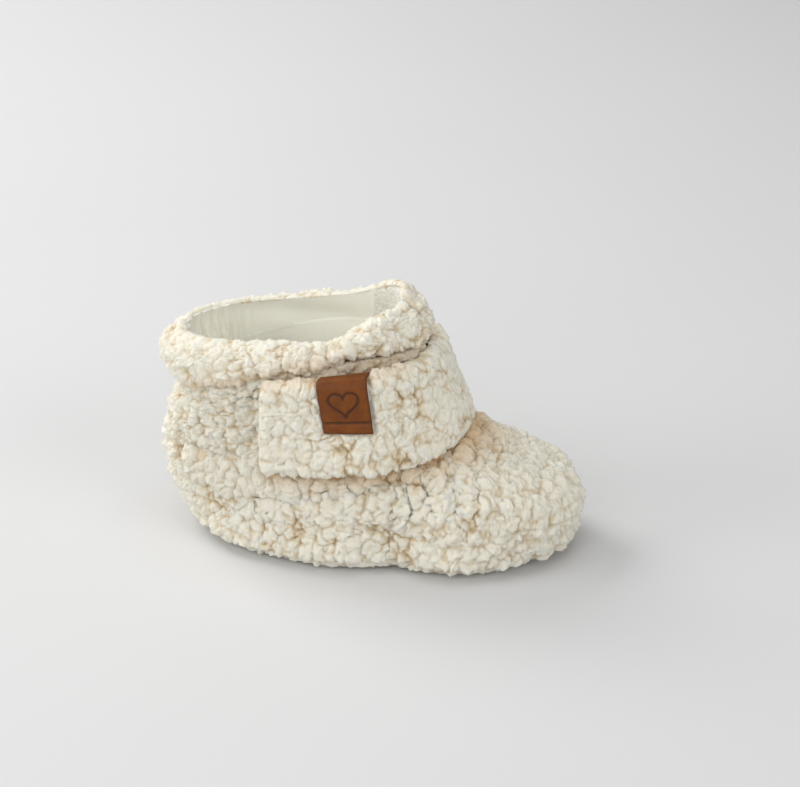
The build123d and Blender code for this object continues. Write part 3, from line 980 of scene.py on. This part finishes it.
def strap_lines(t, out, low_share, extra):
    """Points along the strap at one place in its section. t runs from -1, outer end, to 1, inner end."""
    z = np.full(t.shape, 45.0)
    for _ in range(25):
        end = angle_at(STRAP, STRAP_SQUARE, STRAP_END_X, z, out)
        x = on_form(STRAP, STRAP_SQUARE, t * end, z, out)[:, 0]
        low, top = edge_z(STRAP_LOW, x), edge_z(STRAP_TOP, x)
        z = 0.5 * z + 0.5 * (low + low_share * (top - low) + extra)
    end = angle_at(STRAP, STRAP_SQUARE, STRAP_END_X, z, out)
    return on_form(STRAP, STRAP_SQUARE, t * end, z, out)


def strap_grid(low, high, count, rows, profile=STRAP_PROFILE, grow=0.0):
    t = np.linspace(low, high, count)
    shares = {"low": 0.0, "mid": 0.5, "top": 1.0}
    knots = np.arange(len(profile), dtype=float)
    s = np.linspace(0, len(profile) - 1, 110)
    out = hermite(knots, profile[:, 0].astype(float), s) + grow
    place = hermite(knots, np.array([shares[p] for p in profile[:, 1]]), s)
    extra = hermite(knots, profile[:, 2].astype(float), s)
    lines = np.array([strap_lines(t, o, p, e) for o, p, e in zip(out, place, extra)])
    return resample(lines, rows)


def strap_shade(grid):
    x, z = grid[..., 0], grid[..., 2]
    top = np.exp(-(((edge_z(STRAP_TOP, x) - z) / 1.6) ** 2)) * (1 - smooth(x, 12, 20))
    return 0.35 * top


STRAP_SPLIT = 0.0
whole = strap_grid(-1, 1, n(600), n(118))
half = whole.shape[1] // 2
whole = puff(whole, 0.45, 55)
# The sewn end is pressed down on the shoe, most of all along its two rows of stitches.
sewn = whole[..., 1] > 0
pressed_down = 2.0 * (1 - smooth(whole[..., 0], -25, -17))
for row_x in (-22.0, -13.0):
    pressed_down += 1.2 * np.exp(-(((whole[..., 0] - row_x) / 1.3) ** 2))
whole -= normals_of(whole) * (pressed_down * sewn * smooth(np.linspace(-1, 1, whole.shape[1]), 0, 0.1))[..., None]
# The fold at the front is tight and smooth, so the pile lies lower there.
front = smooth(whole[..., 0], 16, 25)
TAG_X = (-7.3, 6.5)
TAG_LOW_Z = 44.0



def tag_slide(rise):
    """How far the tag leans along the strap at a height above its lower end."""
    return 2.4 * (0.5 - np.clip(rise / 16, 0, 1))


tag_x = whole[..., 0] - tag_slide(whole[..., 2] - TAG_LOW_Z)
under_tag = (smooth(tag_x, TAG_X[0] - 0.8, TAG_X[0] + 0.3) * (1 - smooth(tag_x, TAG_X[1] - 0.3, TAG_X[1] + 0.8))
             * smooth(whole[..., 2], TAG_LOW_Z - 1.2, TAG_LOW_Z) * (whole[..., 1] < 0))
on_top = smooth(whole[..., 2], edge_z(STRAP_TOP, whole[..., 0]) - 1.6, edge_z(STRAP_TOP, whole[..., 0]))
amount_all = (2.9 - 1.2 * front) * (1 - 0.45 * on_top) * (1 - under_tag) + 0.5 * under_tag * (1 - 0.9 * on_top)
face, back, values = plush_layers(whole, amount_all, 2.0, ("start", "end"), strap_shade(whole), (0.92, 0.92, 0.85),
                                  seed=23, round_mm=1.5, tuck=0.7)
strap_parts = {}
for name, part, cut in (("strap_tab_plush", slice(0, half + 1), "end"), ("strap_anchor_plush", slice(half, None), "start")):
    strap_parts[name] = shell(name, face[:, part], strided(back[:, part], 3),
                              {key: value[:, part] for key, value in values.items()}, PLUSH, cut=cut)
made(strap_parts["strap_tab_plush"], None, ["strap_tab"], "plush", 0.4)
made(strap_parts["strap_anchor_plush"], None, ["strap_anchor", "strap_bridge"], "plush", 0.4)

BACK_PROFILE = np.array(((2.1, "low", 1.2), (2.0, "low", 3.0), (2.0, "mid", 0.0), (2.0, "top", -3.0),
                         (2.1, "top", -1.2)), dtype=object)
backing = strap_grid(1, -1, n(260), n(30), BACK_PROFILE)
middle = backing.shape[1] // 2
back_parts = {}
for name, cut, replaced in (("strap_anchor_jersey", slice(0, middle + 1), ["strap_anchor_lining", "strap_bridge_lining"]),
                            ("strap_tab_jersey", slice(middle, None), ["strap_tab_lining"])):
    back_parts[name] = thin_cloth(name, backing[:, cut], 0.45, JERSEY, None, replaced, "jersey")

# ---------------------------------------------------------------------------
# Leather tag.
# ---------------------------------------------------------------------------
def outer_side(x, z, out):
    """Point of the strap's form on the outer side at this x and height."""
    angle = -angle_at(STRAP, STRAP_SQUARE, x, z, out)
    return on_form(STRAP, STRAP_SQUARE, angle, z, out)


def tag_grid(count, rows):
    """Front face of the tag from its stitched end up the front, over the edge and down the back."""
    across = np.linspace(0, 1, count)
    face = np.empty((rows, count, 3))
    path = []
    top = edge_z(STRAP_TOP, np.array([0.0]))[0]
    knots = np.array(((8.15, TAG_LOW_Z), (8.3, TAG_LOW_Z + 2.0), (8.1, TAG_LOW_Z + 3.6), (8.5, TAG_LOW_Z + 8),
                      (8.5, top - 4.5), (8.1, top - 1.6), (7.0, top + 0.5), (5.2, top + 1.1), (3.0, top + 0.7),
                      (1.7, top - 0.9), (1.7, top - 4), (1.7, top - 8)))
    k = np.arange(len(knots), dtype=float)
    s = np.linspace(0, len(knots) - 1, 200)
    path = np.stack([hermite(k, knots[:, 0], s), hermite(k, knots[:, 1], s)], -1)
    run = np.concatenate([[0], np.cumsum(np.linalg.norm(np.diff(path, axis=0), axis=1))])
    wanted = np.linspace(0, run[-1], rows)
    out = np.interp(wanted, run, path[:, 0])
    height = np.interp(wanted, run, path[:, 1])
    for r in range(rows):
        x = TAG_X[0] + tag_slide(wanted[r]) + across * (TAG_X[1] - TAG_X[0])
        lift = (edge_z(STRAP_TOP, x) - top) * np.clip((height[r] - TAG_LOW_Z) / 12, 0, 1)
        z = height[r] + lift
        face[r] = outer_side(x, z, np.full(count, out[r]))
    return face, wanted


HEART_SIZE = 4.1


def heart_distance(u, v):
    """Distance to the outline of a plain heart, in mm."""
    a = np.linspace(0, 2 * math.pi, 160)
    hx = HEART_SIZE / 16 * 16 * np.sin(a) ** 3
    hy = HEART_SIZE / 16 * (13 * np.cos(a) - 5 * np.cos(2 * a) - 2 * np.cos(3 * a) - np.cos(4 * a))
    best = np.full(u.shape, 1e9)
    for x0, y0 in zip(hx, hy):
        best = np.minimum(best, np.hypot(u - x0, v - y0))
    return best


tag_face, tag_run = tag_grid(n(190), n(420))
tag_normal = normals_of(tag_face)
tag_width = TAG_X[1] - TAG_X[0]
tag_u = (np.linspace(-0.5, 0.5, tag_face.shape[1]) * tag_width)[None] + 0 * tag_run[:, None]
tag_v = tag_run[:, None] + 0 * tag_u
press = np.exp(-((heart_distance(tag_u, tag_v - 9.3) / 0.42) ** 2))
stitch_line = np.exp(-(((tag_v - 3.4) / 0.3) ** 2))
edge_gap = border_distance(tag_face, ("bottom", "start", "end"))
round_off = 0.35 * np.exp(-((edge_gap / 0.35) ** 2))
grain = 0.03 * noise(tag_face.reshape(-1, 3), 0.5, 81).reshape(tag_u.shape)
cup = 0.25 * noise(tag_face.reshape(-1, 3), 7.0, 82).reshape(tag_u.shape)
tag_face = tag_face + tag_normal * (cup + grain - 0.30 * press - 0.28 * stitch_line - round_off)[..., None]
tag_back = tag_face - tag_normal * (0.95 - 0.30 * press - 0.28 * stitch_line - 2 * round_off)[..., None]
tag_values = {"press": 0.85 * press + 0.5 * stitch_line, "edge": np.exp(-((edge_gap / 0.55) ** 2))}
tag = shell("leather_label", tag_face, strided(tag_back, 3), tag_values, LEATHER)
made(tag, "strap_tab", ["leather_tag"], "tag_leather")


def stitches(name, runs, radius, material, body, replaced, slot):
    """Stitches: each run is (start, end, up), a short thread bowed out over the cloth."""
    points, quads, caps = [], [], []
    around, along = 7, 9
    for start, end, up in runs:
        start, end, up = (np.array(v, float) for v in (start, end, up))
        axis = end - start
        length = np.linalg.norm(axis)
        axis /= length
        up = up - axis * (up @ axis)
        up /= np.linalg.norm(up)
        cross = np.cross(axis, up)
        first = len(points)
        for i in range(along):
            s = i / (along - 1)
            middle = start + axis * (length * s) + up * (radius * (3.2 * math.sin(math.pi * s) - 1.8))
            thick = radius * (0.55 + 0.45 * math.sin(math.pi * s) ** 0.5)
            for j in range(around):
                a = 2 * math.pi * j / around
                points.append(middle + thick * (math.cos(a) * up + math.sin(a) * cross))
        for i in range(along - 1):
            for j in range(around):
                a, b = first + i * around + j, first + i * around + (j + 1) % around
                quads.append((a, b, b + around, a + around))
        for ring, turned in ((first, True), (first + (along - 1) * around, False)):
            centre = len(points)
            points.append(np.mean(points[ring:ring + around], axis=0))
            for j in range(around):
                a, b = ring + j, ring + (j + 1) % around
                caps.append((b, a, centre) if turned else (a, b, centre))
    piece = to_object(name, np.array(points), quads, caps, material=material)
    return made(piece, body, replaced, slot)


def row_of_stitches(point_at, count, share=0.72):
    """Stitches along a path: point_at(s) gives a point and the outward direction for s from 0 to 1."""
    runs = []
    for i in range(count):
        a, up = point_at((i + (1 - share) / 2) / count)
        b, _ = point_at((i + (1 + share) / 2) / count)
        runs.append((a, b, up))
    return runs


seam_row = int(np.argmin(np.abs(tag_run - 3.4)))


def tag_stitch(s):
    c = 6 + s * (tag_face.shape[1] - 13)
    i = int(c)
    point = tag_face[seam_row, i] * (1 - (c - i)) + tag_face[seam_row, i + 1] * (c - i)
    return point + tag_normal[seam_row, i] * 0.02, tag_normal[seam_row, i]


stitches("tag_thread", row_of_stitches(tag_stitch, 9), 0.17, TAG_THREAD, "strap_tab", ["tag_stitches"], "tag_thread")


def side_point(levels, square, x, z, out, sign):
    angle = sign * angle_at(levels, square, np.array([x]), np.array([z]), np.array([out]))
    p = on_form(levels, square, angle, np.array([z]), np.array([out]))[0]
    return p, np.array((0.0, float(sign), 0.0))


def stitched_frame(levels, square, out, sign, x_range, z_range):
    x0, x1 = x_range[0] + 1.2, x_range[1] - 1.2
    z0, z1 = z_range[0] + 1.2, z_range[1] - 1.2
    corners = ((x0, z0), (x1, z0), (x1, z1), (x0, z1), (x0, z0))
    runs = []
    for a, b in zip(corners, corners[1:]):
        count = int(math.dist(a, b) // 2.1)
        runs += row_of_stitches(
            lambda s: side_point(levels, square, a[0] + s * (b[0] - a[0]), a[1] + s * (b[1] - a[1]), out, sign), count)
    return runs




def tape(name, levels, square, out, thickness, material, body, replaced, slot, tufts, seed, faces_in):
    """A woven tape with its hooks or loops standing on it as real geometry."""
    cols, rows = n(60), n(84)
    x = np.linspace(*PATCH_X, cols)
    face = np.empty((rows, cols, 3))
    for r, z in enumerate(np.linspace(*PATCH_Z, rows)):
        height = np.full(cols, z)
        angle = -angle_at(levels, square, x, height, out)
        face[r] = on_form(levels, square, angle, height, out)
    normal = normals_of(face)
    if faces_in:
        face, normal = face[:, ::-1], -normal[:, ::-1]
    weave = 0.05 * np.sin(np.arange(cols) * 1.6)[None] * np.sin(np.arange(rows) * 1.6)[:, None]
    piece_face = face + normal * weave[..., None]
    points = [piece_face.reshape(-1, 3)]
    index = np.arange(rows * cols).reshape(rows, cols)
    quads = [grid_faces(index, False)]
    count = rows * cols
    back = strided(face - normal * thickness, 3)
    back_index = count + np.arange(back.shape[0] * back.shape[1]).reshape(back.shape[:2])
    quads.append(grid_faces(back_index, True))
    triangles = (zipper(back_index[0], index[0]) + zipper(index[-1], back_index[-1])
                 + zipper(index[:, 0], back_index[:, 0]) + zipper(back_index[:, -1], index[:, -1]))
    points.append(back.reshape(-1, 3))
    count += back.shape[0] * back.shape[1]
    rng = np.random.default_rng(seed)
    for r in np.linspace(6, rows - 7, tufts[0]).astype(int):
        for c in np.linspace(4, cols - 5, tufts[1]).astype(int):
            centre, up = face[r, c], normal[r, c]
            along = np.array((1.0, 0.0, 0.0)) + rng.normal(0, 0.5, 3) * (0.2 if faces_in else 1.0)
            along -= up * (along @ up)
            along /= np.linalg.norm(along)
            cross = np.cross(up, along)
            ring = []
            bend = np.linspace(0, math.pi * (0.82 if faces_in else 1.0), 6)
            for b in bend:
                middle = centre + up * (0.42 * math.sin(b)) + along * (0.26 * (1 - math.cos(b)) - 0.26)
                out_dir = up * math.sin(b) - along * math.cos(b)
                ring.append([middle + 0.06 * (out_dir * math.cos(q) + cross * math.sin(q))
                             for q in (0.0, 2.1, 4.2)])
            ring = np.array(ring)
            base = count
            points.append(ring.reshape(-1, 3))
            for i in range(len(bend) - 1):
                for j in range(3):
                    k = (j + 1) % 3
                    quads.append(np.array([[base + i * 3 + j, base + i * 3 + k, base + (i + 1) * 3 + k,
                                            base + (i + 1) * 3 + j]]))
            triangles.append((base + 2, base + 1, base))
            last = base + (len(bend) - 1) * 3
            triangles.append((last, last + 1, last + 2))
            count += len(bend) * 3
    piece = to_object(name, np.concatenate(points), np.concatenate(quads), triangles, material=material)
    return made(piece, body, replaced, slot)


tape("loop_tape", SHOE, SHOE_SQUARE, -0.35, 0.4, LOOP_TAPE, "shoe", ["loop_patch"], "loop_tape", (26, 18), 5, False)
tape("hook_tape", STRAP, STRAP_SQUARE, 1.35, 0.35, HOOK_TAPE, "strap_tab", ["hook_patch"], "hook_tape", (22, 15), 6,
     True)
stitches("loop_tape_thread", stitched_frame(SHOE, SHOE_SQUARE, -0.3, LATERAL, PATCH_X, PATCH_Z), 0.16, THREAD, "shoe",
         ["loop_patch_stitches"], "thread")
stitches("hook_tape_thread", [(a, b, -up) for a, b, up in
                              stitched_frame(STRAP, STRAP_SQUARE, 1.3, LATERAL, PATCH_X, PATCH_Z)], 0.16, THREAD,
         "strap_tab", ["hook_patch_stitches"], "thread")
anchor_runs = []
for x, out in ((-22.0, 5.7), (-13.0, 6.4)):
    anchor_runs += row_of_stitches(lambda s: side_point(STRAP, STRAP_SQUARE, x, 33.5 + 20.0 * s, out, MEDIAL), 8)
stitches("strap_anchor_thread", anchor_runs, 0.26, THREAD, "shoe", ["strap_anchor_stitches"], "thread")

# ---------------------------------------------------------------------------
# Transforms of the flap's and the strap's pieces, baked into their meshes.
# ---------------------------------------------------------------------------
for piece in (cuff_out, lateral_jersey, flap_inside):
    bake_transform(piece)
for piece in (strap_parts["strap_anchor_plush"], back_parts["strap_anchor_jersey"]):
    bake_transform(piece)
for piece in (strap_parts["strap_tab_plush"], back_parts["strap_tab_jersey"]):
    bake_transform(piece)

# ---------------------------------------------------------------------------
# Stage, lights and camera.
# ---------------------------------------------------------------------------
floor_material, nodes, links, shader = new_material("floor_paper")
place = nodes.new("ShaderNodeTexCoord").outputs["Object"]
paper = noise_node(nodes, links, place, 6, 3, 0.5)
paper_colours = ramp(nodes, ((0.3, (0.985, 0.985, 0.985)), (0.7, (1, 1, 1))))
links.new(paper.outputs["Fac"], paper_colours.inputs["Fac"])
# Painted shade: the floor's colour darkens a little towards +x, a light falloff to the right.
across = nodes.new("ShaderNodeSeparateXYZ")
links.new(place, across.inputs[0])
slope = nodes.new("ShaderNodeMapRange")
slope.inputs["From Min"].default_value = -0.15
slope.inputs["From Max"].default_value = 0.20
links.new(across.outputs["X"], slope.inputs["Value"])
painted_falloff_colours = ramp(nodes, ((0.0, (0.70, 0.70, 0.70)), (1.0, (0.655, 0.655, 0.655))))
links.new(slope.outputs["Result"], painted_falloff_colours.inputs["Fac"])
links.new(mix_colour(nodes, links, 1.0, paper_colours.outputs["Color"], painted_falloff_colours.outputs["Color"], "MULTIPLY"),
          shader.inputs["Base Color"])
shader.inputs["Roughness"].default_value = 0.9
shader.inputs["Specular IOR Level"].default_value = 0.1
floor = to_object("floor", [(-4000, -4000, 0), (4000, -4000, 0), (4000, 4000, 0), (-4000, 4000, 0)], [(0, 1, 2, 3)],
                  material=floor_material, flat=True)


def area_light(name, place, size, watts, aim=(0, 0, 0.03), colour=(1, 1, 1)):
    data = bpy.data.lights.new(name, "AREA")
    data.shape = "RECTANGLE"
    data.size, data.size_y = size
    data.energy = watts
    data.color = colour
    lamp = bpy.data.objects.new(name, data)
    bpy.context.scene.collection.objects.link(lamp)
    lamp.location = place
    lamp.rotation_euler = (Vector(aim) - Vector(place)).to_track_quat("-Z", "Y").to_euler()
    return lamp


area_light("key_window", (-0.95, 0.45, 0.90), (0.7, 0.7), 9.5, colour=(1.0, 0.995, 0.98))
area_light("fill_front", (-0.1, -1.42, 0.85), (1.3, 0.9), 7.0)
area_light("fill_left", (-1.35, -0.70, 0.60), (0.9, 0.9), 9.0)
area_light("fill_right", (1.25, -0.75, 0.65), (0.9, 0.9), 6.0)
area_light("top_soft", (0.0, 0.0, 1.5), (1.2, 1.2), 5.2)

world = bpy.data.worlds.new("studio")
world.use_nodes = True
world.node_tree.nodes["Background"].inputs["Color"].default_value = (0.98, 0.99, 1.0, 1)
world.node_tree.nodes["Background"].inputs["Strength"].default_value = 0.31
bpy.context.scene.world = world

AZIMUTH, ELEVATION = math.radians(12), math.radians(24)
DISTANCE = 0.7
TARGET = Vector((0, 0, 0.030))
back_dir = Vector((math.sin(AZIMUTH) * math.cos(ELEVATION), -math.cos(AZIMUTH) * math.cos(ELEVATION),
                   math.sin(ELEVATION)))
right_dir = Vector((math.cos(AZIMUTH), math.sin(AZIMUTH), 0))
up_dir = back_dir.cross(right_dir)
aim = TARGET + right_dir * 0.0091 + up_dir * 0.0125
camera_data = bpy.data.cameras.new("camera")
camera_data.lens = 107
camera_data.sensor_width = 36
camera_data.clip_start = 0.01
camera = bpy.data.objects.new("camera", camera_data)
bpy.context.scene.collection.objects.link(camera)
camera.location = aim + back_dir * DISTANCE
camera.rotation_euler = back_dir.to_track_quat("Z", "Y").to_euler()
bpy.context.scene.camera = camera
bpy.context.scene.view_settings.view_transform = "Standard"
